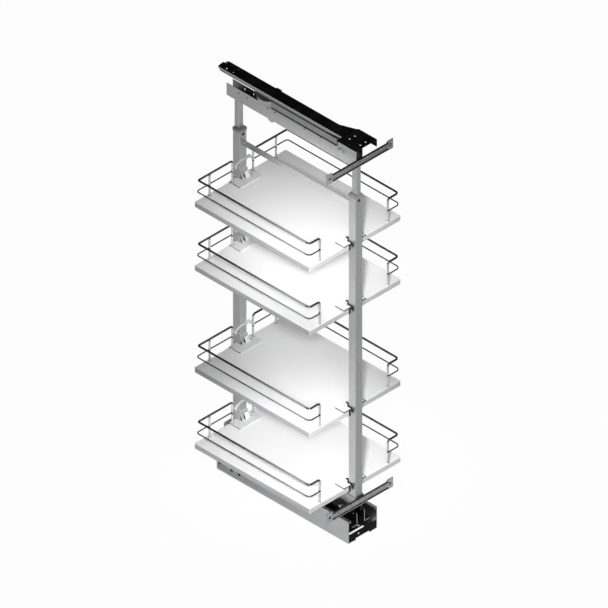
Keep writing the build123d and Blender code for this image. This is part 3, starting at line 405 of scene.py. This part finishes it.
def black_coat():
    """Black coated plate: orange peel, a little dust and edges worn to the metal."""
    recipe = Recipe("black_plate_finish", metallic=0.0)
    recipe.shader.inputs["Specular IOR Level"].default_value = 0.05
    dust = recipe.spread(recipe.noise(22.0, 6.0), 0.45, 0.7)
    coat = recipe.blend(dust, black_paint, black_dust)
    worn = recipe.both(recipe.edges(0.0007), recipe.spread(recipe.noise(120.0), 0.45, 0.6))
    recipe.colour(recipe.blend(worn, coat, black_worn))
    recipe.roughness(recipe.spread(dust, 0.0, 1.0, 0.40, 0.60))
    recipe.bump(recipe.noise(750.0, 2.0), 0.00005)
    return recipe


def moulded(name, dark, light, rough, grain, depth):
    """Moulded plastic or rubber with a fine grain and slightly lighter rubbed edges."""
    recipe = Recipe(name, metallic=0.0)
    recipe.shader.inputs["Specular IOR Level"].default_value = 0.25
    patches = recipe.spread(recipe.noise(35.0), 0.35, 0.65)
    rubbed = recipe.sum(patches, recipe.edges(0.0008), "MAXIMUM")
    recipe.colour(recipe.blend(rubbed, dark, light))
    recipe.roughness(recipe.spread(patches, 0.0, 1.0, rough - 0.06, rough + 0.06))
    recipe.bump(recipe.noise(grain, 2.0), depth)
    return recipe


def black_moulding(name, rough, grain, depth):
    """Black plastic or rubber."""
    return moulded(name, plastic_dark, plastic_light, rough, grain, depth)


def grey_moulding():
    """Grey plastic of the collars and end caps."""
    name = "grey_plastic_finish"
    return moulded(name, cap_grey_dark, cap_grey_light, rough=0.5, grain=1500.0, depth=0.00004)


def shaded(colour, share):
    """The same colour at another brightness."""
    return tuple(share * part for part in colour[:3]) + (1.0,)


def plate_coat(name, plate_colour):
    """Light coated plate with painted shade on its sides."""
    recipe = Recipe(name, metallic=0.0)
    clouds = recipe.spread(recipe.noise(30.0), 0.35, 0.65)
    plate = recipe.blend(clouds, plate_colour, shaded(plate_colour, 0.94))
    # Painted shade on the sides that look along X
    recipe.colour(recipe.blend(recipe.faces_along("X"), plate, painted_shade_black))
    recipe.roughness(recipe.spread(clouds, 0.0, 1.0, 0.36, 0.48))
    recipe.bump(recipe.noise(1100.0, 2.0), 0.00003)
    return recipe


def clip_coat(number, board_top):
    """Front clip: white plate with a dark rim, and black cheeks, hook and catches."""
    recipe = plate_coat(f"clip_{number}_finish", clip_white)
    from_middle = recipe.sum(recipe.axis("X"), 0.0, "ABSOLUTE")
    cheek_back = board_front + clip_arm_sheet
    plate_face = board_top + clip_plate_sheet
    recipe.over(recipe.spread(from_middle, clip_rim_start, clip_rim_start + tone_step), clip_rim)
    recipe.over(recipe.step("Y", cheek_back, cheek_back - tone_step), plastic_dark)
    recipe.over(recipe.step("Z", plate_face, plate_face + tone_step), plastic_dark)
    return recipe


def clamp_coat(number, board_top):
    """Rear clamp: pale plate, grey cheeks, painted shade on the sides between the cheeks, and painted light
    (white) on the faces above the plate that look up, such as the strut.
    """
    recipe = plate_coat(f"clamp_{number}_finish", clamp_pale)
    above = recipe.step("Z", board_top + clamp_plate_sheet, board_top + clamp_plate_sheet + tone_step)
    from_middle = recipe.sum(recipe.axis("X"), 0.0, "ABSOLUTE")
    between = recipe.spread(from_middle, cheek_inside + tone_step, cheek_inside)
    recipe.over(above, cheek_grey)
    # Painted shade on the sides between the cheeks
    recipe.over(recipe.both(recipe.both(above, between), recipe.faces_along("X")), painted_shade_black)
    # Painted light: white on the faces above the plate that look up
    recipe.over(recipe.both(above, recipe.step("Z", *strut_lean, "Normal")), clip_white)
    return recipe


def lever_coat(name):
    """Pale lever with painted shade as a dark outline along its edges."""
    recipe = moulded(name, lever_pale, clip_white, rough=0.42, grain=900.0, depth=0.00003)
    # Painted shade along the lever's edges
    recipe.over(recipe.edges(lever_outline), painted_shade_black)
    return recipe


def laminated_board():
    """White laminate with a fine pearl texture, and a greyer edge band that is mostly painted shade: darker
    on the sides that look along X than on the ends.
    """
    recipe = Recipe("tray_white_finish", metallic=0.0)
    clouds = recipe.spread(recipe.noise(5.0), 0.35, 0.65)
    pearl = recipe.noise(1400.0, 2.0)
    recipe.colour(recipe.blend(clouds, board_white, board_cool))
    # Painted shade on the sides and ends of the board
    recipe.over(recipe.faces_along("X"), board_side_painted_shade)
    recipe.over(recipe.faces_along("Y"), board_end_painted_shade)
    recipe.roughness(recipe.spread(pearl, 0.3, 0.7, 0.38, 0.52))
    recipe.bump(pearl, 0.00006)
    return recipe


def turned_steel():
    """Steel turned on the swivel axis, with fine rings around it."""
    recipe = Recipe("bearing_steel_finish", metallic=1.0)
    squares = [recipe.sum(recipe.axis(name), 2.0, "POWER") for name in ("X", "Y")]
    from_axis = recipe.sum(recipe.sum(*squares), 0.5, "POWER")
    rings = recipe.noise(1.0, 2.0, recipe.sum(from_axis, 2500.0, "MULTIPLY"))
    recipe.colour(recipe.blend(recipe.spread(rings, 0.3, 0.7), zinc_dark, zinc_light))
    recipe.roughness(recipe.spread(rings, 0.3, 0.7, 0.18, 0.34))
    recipe.bump(rings, 0.00002)
    return recipe


def make_finishes():
    """One finish for each material slot of the record."""
    return {
        "zinc_steel": rolled_steel("zinc_steel_finish", zinc_dark, zinc_light, streaks_along, zinc_rough),
        "grey_steel": rolled_steel("grey_steel_finish", grey_dark, grey_light, streaks_up, satin_rough),
        "chrome_wire": chrome(),
        "black_plate": black_coat(),
        "black_plastic": black_moulding("black_plastic_finish", rough=0.42, grain=1800.0, depth=0.00004),
        "rubber": black_moulding("rubber_finish", rough=0.75, grain=700.0, depth=0.00008),
        "grey_plastic": grey_moulding(),
        "tray_white": laminated_board(),
        "bearing_steel": turned_steel(),
    }


def door_bar_steel():
    """Dull bar with painted shade on the faces that look up and down, and painted light on its ends."""
    bar_light = shaded(bar_grey, 1.15)
    recipe = moulded("door_bar_finish", bar_grey, bar_light, rough=0.5, grain=500.0, depth=0.00004)
    from_middle = recipe.sum(recipe.axis("X"), 0.0, "ABSOLUTE")
    # Painted light on the bar's ends
    recipe.over(recipe.spread(from_middle, bar_end_start, bar_end_start + tone_step), bar_end_painted_light)
    # Painted shade on the faces that look up and down
    recipe.over(recipe.faces_along("Z"), bar_painted_shade)
    return recipe


def top_rail_steel():
    """Pale upper half of the ceiling rail, and painted shade on its lower half."""
    rail_light = shaded(rail_pale, 1.1)
    recipe = moulded("top_rail_finish", rail_pale, rail_light, rough=0.45, grain=600.0, depth=0.00003)
    # Painted shade on the rail's lower half
    recipe.over(recipe.step("Z", rail_middle + tone_step, rail_middle), rail_painted_shade)
    return recipe


def channel_steel():
    """Upper channel: painted light low down in front, and painted shade on the inner face of its right wall.
    """
    recipe = rolled_steel("channel_finish", grey_dark, grey_light, streaks_up, satin_rough)
    toward_front = recipe.step("Y", *channel_front_run)
    # Painted light low down toward the front
    recipe.coat(recipe.both(toward_front, recipe.step("Z", *channel_foot)), channel_painted_light)
    inner_face = recipe.both(recipe.step("X", 0.0, tone_step), recipe.step("X", 0.0, -0.5, "Normal"))
    # Painted shade on the inner face of the right wall
    recipe.over(inner_face, channel_painted_shade)
    return recipe


def brace_steel():
    """Bright brace, with painted light (a pale matte colour) where it looks up and painted shade toward the
    back.
    """
    recipe = rolled_steel("brace_finish", bright_dark, bright_light, streaks_along, satin_rough)
    # Painted light: a pale matte colour on the faces that look up
    recipe.coat(recipe.faces_up(), brace_painted_light_and_clip_paint)
    # Painted shade toward the back
    recipe.over(recipe.step("Y", *brace_back_run), brace_shade)
    return recipe


def top_clip_paint():
    """Pale paint of the slanted clip on the ceiling carriage."""
    clip_dark = shaded(brace_painted_light_and_clip_paint, 0.9)
    return moulded("top_clip_finish", brace_painted_light_and_clip_paint, clip_dark, rough=0.5, grain=900.0, depth=0.00003)


def beam_steel():
    """Lower beam, with painted light (a pale matte colour) where it looks up."""
    recipe = rolled_steel("beam_finish", zinc_dark, zinc_light, streaks_along, zinc_rough)
    # Painted light on the faces that look up
    recipe.coat(recipe.faces_up(), beam_painted_light)
    return recipe


def carriage_steel():
    """Near-black carriage, a painted shade for the inside of the floor runner, with bright cut edges at the
    front.
    """
    carriage_light = shaded(carriage_painted_shade, 1.6)
    recipe = rolled_steel("carriage_finish", carriage_painted_shade, carriage_light, streaks_along, carriage_rough)
    recipe.over(recipe.faces_along("Y"), bright_light)
    return recipe


def dress(node, recipe):
    """Gives one node of the model a finish."""
    mesh = frame["nodes"][node].data
    mesh.materials.clear()
    mesh.materials.append(recipe.material)


def dress_nodes(finishes):
    """Gives every node of the model the finish of its slot, or its own."""
    for subpart in frame["record"]["subparts"]:
        if subpart["material_slot"] in finishes:
            dress(subpart["node"], finishes[subpart["material_slot"]])
    bar = door_bar_steel()
    lever = lever_coat("lever_finish")
    dress("lower_door_bar", bar)
    dress("upper_door_bar", bar)
    dress("top_rail", top_rail_steel())
    dress("upper_channel", channel_steel())
    dress("lower_beam", beam_steel())
    dress("beam_end_cap", finishes["grey_plastic"])
    dress("lower_carriage", carriage_steel())
    dress("cross_brace", brace_steel())
    dress("top_clip", top_clip_paint())
    dress("clamp_screws", finishes["black_plastic"])
    for number in range(1, tray_count + 1):
        board = frame["nodes"][f"tray_{number}_board"].data
        board_top = max(vertex.co.z for vertex in board.vertices)
        dress(f"tray_{number}_front_clip", clip_coat(number, board_top))
        dress(f"tray_{number}_clamp", clamp_coat(number, board_top))
        dress(f"tray_{number}_lever", lever)


def add_piece(name, shape, recipe, body):
    """Turns a finished shape into a piece that moves with a body of the model."""
    mesh = bpy.data.meshes.new(name)
    shape.to_mesh(mesh)
    shape.free()
    for face in mesh.polygons:
        face.use_smooth = False
    piece = bpy.data.objects.new(name, mesh)
    bpy.context.scene.collection.objects.link(piece)
    mesh.materials.append(recipe.material)
    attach(piece, body)


def turned_shape(profile, place, direction, hollow):
    """Round shape from (radius, height) pairs, turned about an axis through a place."""
    shape = bmesh.new()
    turn = direction.to_track_quat("Z", "Y")
    rings = []
    for radius, height in profile:
        ring = []
        for step in range(turn_steps):
            angle = 2 * math.pi * step / turn_steps
            point = Vector((radius * math.cos(angle), radius * math.sin(angle), height))
            ring.append(shape.verts.new(place + turn @ point))
        rings.append(ring)
    following = rings[1:] + rings[:1] if hollow else rings[1:]
    for low, high in zip(rings, following):
        for step in range(turn_steps):
            after = (step + 1) % turn_steps
            shape.faces.new((low[step], low[after], high[after], high[step]))
    if not hollow:
        shape.faces.new(list(reversed(rings[0])))
        shape.faces.new(rings[-1])
    bmesh.ops.recalc_face_normals(shape, faces=shape.faces)
    return shape


def add_bar_bushings(recipe):
    """Plastic bushing in each end hole of the door bars."""
    bars = (("lower", lower_bar_height, "frame"), ("upper", upper_bar_height, "upper_frame"))
    for bar, height, body in bars:
        for side, x in (("left", -bar_hole_x), ("right", bar_hole_x)):
            place = Vector((x, bar_front, height))
            shape = turned_shape(bushing_profile, place, Vector((0, -1, 0)), hollow=True)
            add_piece(f"{bar}_{side}_bushing", shape, recipe, body)


def add_screw_surrounds(recipe):
    """Dark ring round each clamp screw of the posts."""
    for name, y in (("front", front_post_face), ("back", back_post_face)):
        place = Vector((0, y, clamp_screw_height))
        shape = turned_shape(surround_profile, place, Vector((0, -1, 0)), hollow=True)
        add_piece(f"{name}_screw_surround", shape, recipe, "frame")


def add_plate_rivets(recipe):
    """Flat rivets in the small holes of the ceiling plate."""
    for number, (x, y) in enumerate(rivet_places, start=1):
        place = Vector((x, y, plate_top - rivet_sink))
        shape = turned_shape(rivet_profile, place, Vector((0, 0, 1)), hollow=False)
        add_piece(f"plate_rivet_{number}", shape, recipe, "top_rail")


def add_base_plugs(recipe):
    """Rubber plugs in the side holes of the floor runner."""
    for side, x, out in (("left", -base_half, -1), ("right", base_half, 1)):
        for number, y in enumerate(base_plug_places, start=1):
            place = Vector((x, y, base_plug_height))
            shape = turned_shape(plug_profile, place, Vector((out, 0, 0)), hollow=False)
            add_piece(f"{side}_base_plug_{number}", shape, recipe, "base")


def add_channel_shadow_strip(recipe):
    """Thin black strip along the upper edge of the channel's left wall, painted shade that thickens the
    shadow of the gap above it.
    """
    shape = bmesh.new()
    bmesh.ops.create_cube(shape, size=1.0)
    size = shadow_strip_high - shadow_strip_low
    for corner in shape.verts:
        corner.co = shadow_strip_low + Vector((0.5 + part for part in corner.co)) * size
    bmesh.ops.bevel(shape, geom=shape.edges[:], offset=shadow_strip_edge, segments=2, affect="EDGES")
    add_piece("channel_shadow_strip", shape, recipe, "upper_frame")


def add_pieces(finishes):
    """Small fittings that lie on the model, and a black strip of painted shade on the channel."""
    add_bar_bushings(finishes["black_plastic"])
    add_screw_surrounds(finishes["black_plastic"])
    add_plate_rivets(finishes["zinc_steel"])
    add_base_plugs(finishes["rubber"])
    add_channel_shadow_strip(finishes["black_plastic"])


def add_floor():
    """Pale floor that is white to the camera and keeps the shadow."""
    mesh = bpy.data.meshes.new("floor")
    shape = bmesh.new()
    bmesh.ops.create_grid(shape, x_segments=8, y_segments=8, size=floor_side / 2)
    shape.to_mesh(mesh)
    shape.free()
    floor = bpy.data.objects.new("floor", mesh)
    bpy.context.scene.collection.objects.link(floor)
    material = bpy.data.materials.new("floor_finish")
    material.use_nodes = True
    nodes = material.node_tree.nodes
    links = material.node_tree.links
    shader = nodes["Principled BSDF"]
    shader.inputs["Base Color"].default_value = floor_colour
    shader.inputs["Roughness"].default_value = floor_rough
    glow = nodes.new("ShaderNodeEmission")
    seen = background_rays(nodes, links)
    share = nodes.new("ShaderNodeMath")
    share.operation = "MULTIPLY"
    share.inputs[1].default_value = floor_glow
    links.new(seen, share.inputs[0])
    mix = nodes.new("ShaderNodeMixShader")
    links.new(share.outputs["Value"], mix.inputs["Fac"])
    links.new(shader.outputs["BSDF"], mix.inputs[1])
    links.new(glow.outputs["Emission"], mix.inputs[2])
    links.new(mix.outputs["Shader"], nodes["Material Output"].inputs["Surface"])
    mesh.materials.append(material)


def background_rays(nodes, links):
    """1 for the rays that should see the white background."""
    path = nodes.new("ShaderNodeLightPath")
    either = None
    for name in ("Is Camera Ray", "Is Glossy Ray", "Is Transmission Ray"):
        if either is None:
            either = path.outputs[name]
            continue
        node = nodes.new("ShaderNodeMath")
        node.operation = "MAXIMUM"
        links.new(either, node.inputs[0])
        links.new(path.outputs[name], node.inputs[1])
        either = node.outputs["Value"]
    return either


def add_world():
    """White behind the object and in its metal, and even light elsewhere."""
    world = bpy.data.worlds.new("studio")
    bpy.context.scene.world = world
    world.use_nodes = True
    nodes = world.node_tree.nodes
    links = world.node_tree.links
    even = nodes["Background"]
    even.inputs["Strength"].default_value = room_light
    white = nodes.new("ShaderNodeBackground")
    for node in (even, white):
        node.inputs["Color"].default_value = (1.0, 1.0, 1.0, 1.0)
    white.inputs["Strength"].default_value = background_level
    mix = nodes.new("ShaderNodeMixShader")
    links.new(background_rays(nodes, links), mix.inputs["Fac"])
    links.new(even.outputs["Background"], mix.inputs[1])
    links.new(white.outputs["Background"], mix.inputs[2])
    links.new(mix.outputs["Shader"], nodes["World Output"].inputs["Surface"])


def add_card(name, low, high, height, level):
    """Level sheet that only reflections show, as in a photo studio."""
    mesh = bpy.data.meshes.new(name)
    corners = [(low.x, low.y, 0.0), (high.x, low.y, 0.0), (high.x, high.y, 0.0), (low.x, high.y, 0.0)]
    mesh.from_pydata(corners, [], [(0, 1, 2, 3)])
    card = bpy.data.objects.new(name, mesh)
    card.location.z = height
    bpy.context.scene.collection.objects.link(card)
    material = bpy.data.materials.new(name + "_finish")
    material.use_nodes = True
    nodes = material.node_tree.nodes
    glow = nodes.new("ShaderNodeEmission")
    glow.inputs["Strength"].default_value = level
    material.node_tree.links.new(glow.outputs["Emission"], nodes["Material Output"].inputs["Surface"])
    mesh.materials.append(material)
    card.visible_camera = False
    card.visible_diffuse = False
    card.visible_transmission = False
    card.visible_volume_scatter = False
    card.visible_shadow = False
    return card


def shade_card(card, terms):
    """Dims a card by ramps along directions on it: (direction, start, end, level at start, level at end)."""
    tree = card.data.materials[0].node_tree
    place = tree.nodes.new("ShaderNodeTexCoord").outputs["Object"]
    level = None
    for direction, start, end, level_at_start, level_at_end in terms:
        along = tree.nodes.new("ShaderNodeVectorMath")
        along.operation = "DOT_PRODUCT"
        along.inputs[1].default_value = direction
        tree.links.new(place, along.inputs[0])
        ramp = tree.nodes.new("ShaderNodeMapRange")
        ramp.inputs["From Min"].default_value = start
        ramp.inputs["From Max"].default_value = end
        ramp.inputs["To Min"].default_value = level_at_start
        ramp.inputs["To Max"].default_value = level_at_end
        tree.links.new(along.outputs["Value"], ramp.inputs["Value"])
        if level is None:
            level = ramp.outputs["Result"]
            continue
        both = tree.nodes.new("ShaderNodeMath")
        both.operation = "MULTIPLY"
        tree.links.new(level, both.inputs[0])
        tree.links.new(ramp.outputs["Result"], both.inputs[1])
        level = both.outputs["Value"]
    glow = next(node for node in tree.nodes if node.type == "EMISSION")
    tree.links.new(level, glow.inputs["Strength"])


def add_cards():
    """Dark ceiling and grey floors in front right and behind left, which shade the metal's faces."""
    reach = Vector((ceiling_card_half, ceiling_card_half))
    add_card("ceiling_card", -reach, reach, ceiling_card_height, ceiling_card_level)
    add_card("floor_card", floor_card_near, floor_card_far, floor_card_height, floor_card_level)
    side = add_card("side_card", side_card_near, side_card_far, floor_card_height, background_level)
    shade_card(side, side_card_terms)


def add_key_light():
    """Broad soft light from above, a little in front and to the right."""
    data = bpy.data.lights.new("key", "SUN")
    data.energy = key_strength
    data.angle = key_softness
    lamp = bpy.data.objects.new("key", data)
    lamp.rotation_mode = "QUATERNION"
    lamp.rotation_quaternion = key_direction.to_track_quat("-Z", "Y")
    bpy.context.scene.collection.objects.link(lamp)


def add_front_box():
    """Near softbox at the front left, which lights the trays under one another."""
    data = bpy.data.lights.new("front_box", "AREA")
    data.energy = box_power
    data.size = box_side
    lamp = bpy.data.objects.new("front_box", data)
    lamp.location = box_place
    lamp.rotation_mode = "QUATERNION"
    lamp.rotation_quaternion = (box_aim - box_place).to_track_quat("-Z", "Y")
    bpy.context.scene.collection.objects.link(lamp)


def camera_look():
    """Direction in which the camera looks, down at the front left corner."""
    level = math.cos(camera_drop)
    return Vector((math.sin(camera_turn) * level, math.cos(camera_turn) * level, -math.sin(camera_drop)))


def add_tray_spots():
    """Soft spot on the middle of each tray, which shines in under the tray above."""
    for number, (height, radius, power) in enumerate(tray_spots, start=1):
        name = f"tray_{number}_spot"
        data = bpy.data.lights.new(name, "SPOT")
        data.energy = power
        data.spot_size = 2 * math.atan(radius / spot_distance)
        data.spot_blend = 1.0
        data.shadow_soft_size = spot_softness
        lamp = bpy.data.objects.new(name, data)
        lamp.location = Vector((0.0, 0.0, height)) + spot_shift - camera_look() * spot_distance
        lamp.rotation_mode = "QUATERNION"
        lamp.rotation_quaternion = camera_look().to_track_quat("-Z", "Y")
        lamp.scale.x = spot_width_share
        bpy.context.scene.collection.objects.link(lamp)


def add_camera():
    """Camera at the picture's angle."""
    look = camera_look()
    data = bpy.data.cameras.new("camera")
    data.type = "ORTHO"
    data.ortho_scale = picture_width
    camera = bpy.data.objects.new("camera", data)
    camera.location = camera_target - look * camera_distance
    camera.rotation_mode = "QUATERNION"
    camera.rotation_quaternion = look.to_track_quat("-Z", "Y")
    bpy.context.scene.collection.objects.link(camera)
    bpy.context.scene.camera = camera


clear_scene()
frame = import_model()
bpy.context.scene.view_settings.view_transform = "Standard"
add_camera()
add_world()
add_key_light()
add_front_box()
add_tray_spots()
add_floor()
add_cards()
finishes = make_finishes()
dress_nodes(finishes)
add_pieces(finishes)
